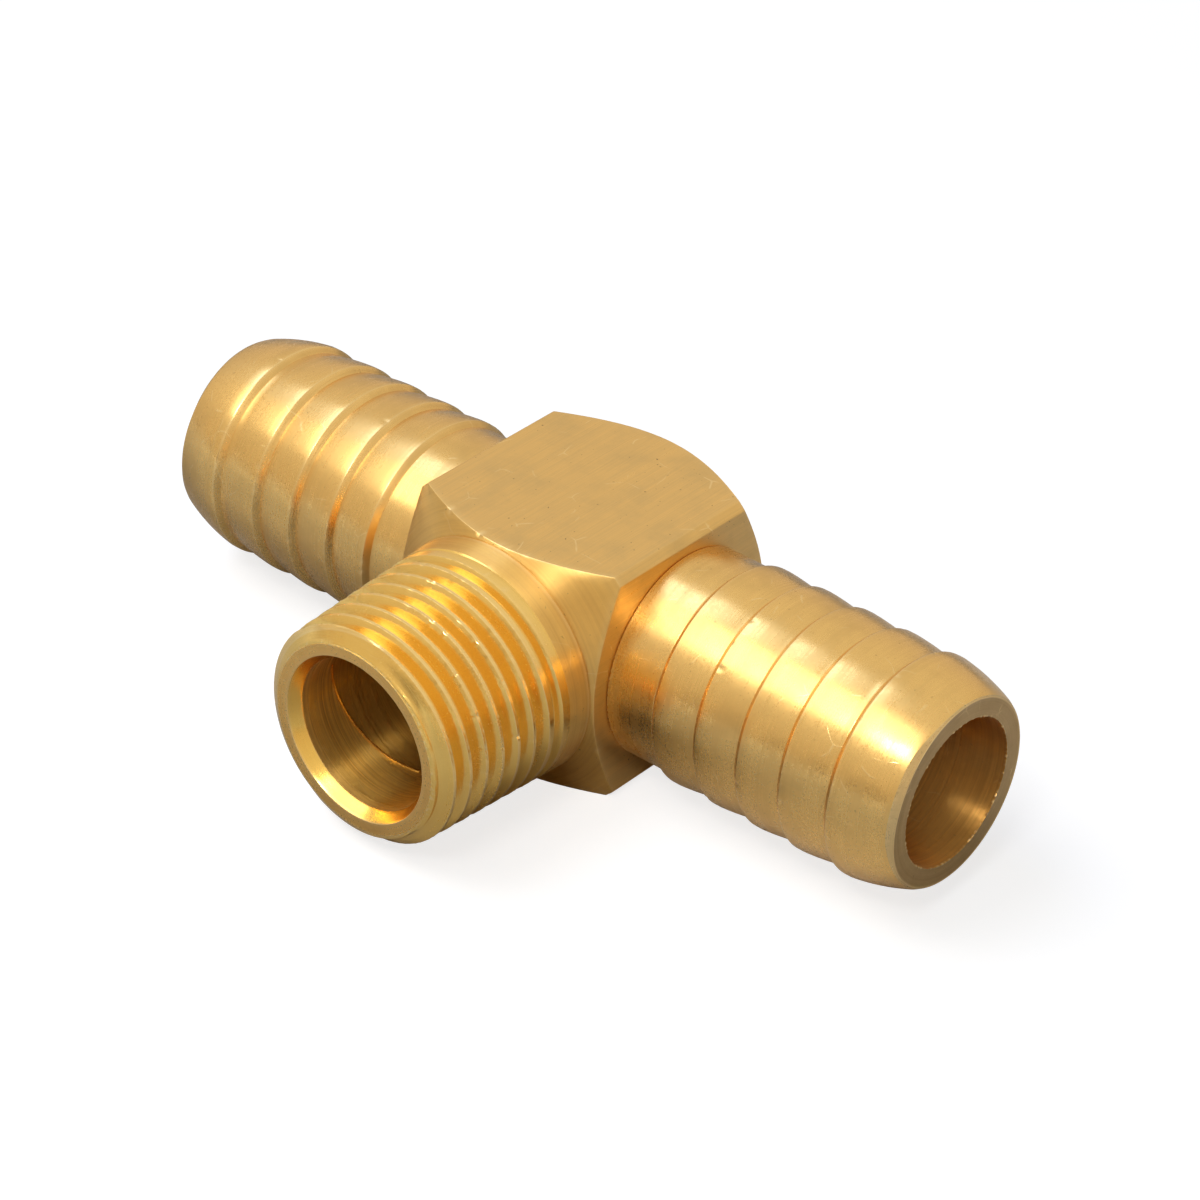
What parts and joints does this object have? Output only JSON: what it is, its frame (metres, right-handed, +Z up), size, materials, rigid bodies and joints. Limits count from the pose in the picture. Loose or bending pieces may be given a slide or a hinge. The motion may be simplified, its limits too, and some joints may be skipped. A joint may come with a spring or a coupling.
{
  "type": "barbed tee connector",
  "caption": "Brass tee fitting: square block with a ridged hose tail on each side and a male pipe-threaded branch, open waterways through all arms.",
  "frame": {"origin": "where the run waterway and the branch waterway cross, at the middle of the square block", "axes": "+X along the run towards the right-hand hose tail, -Y along the threaded branch towards its mouth, +Z up, square to both waterways"},
  "size_m": [0.08, 0.0395, 0.022],
  "materials": {
    "body_brass": "drawn and turned, dull olive tone",
    "tail_brass": "satin turned, slightly rosy",
    "filler_metal": "silver braze, matte"
  },
  "bodies": {
    "root": {"tee_body": "body_brass", "barb_left": "tail_brass", "barb_right": "tail_brass", "braze_ring_left": "filler_metal", "braze_ring_right": "filler_metal"}
  },
  "joints": []
}
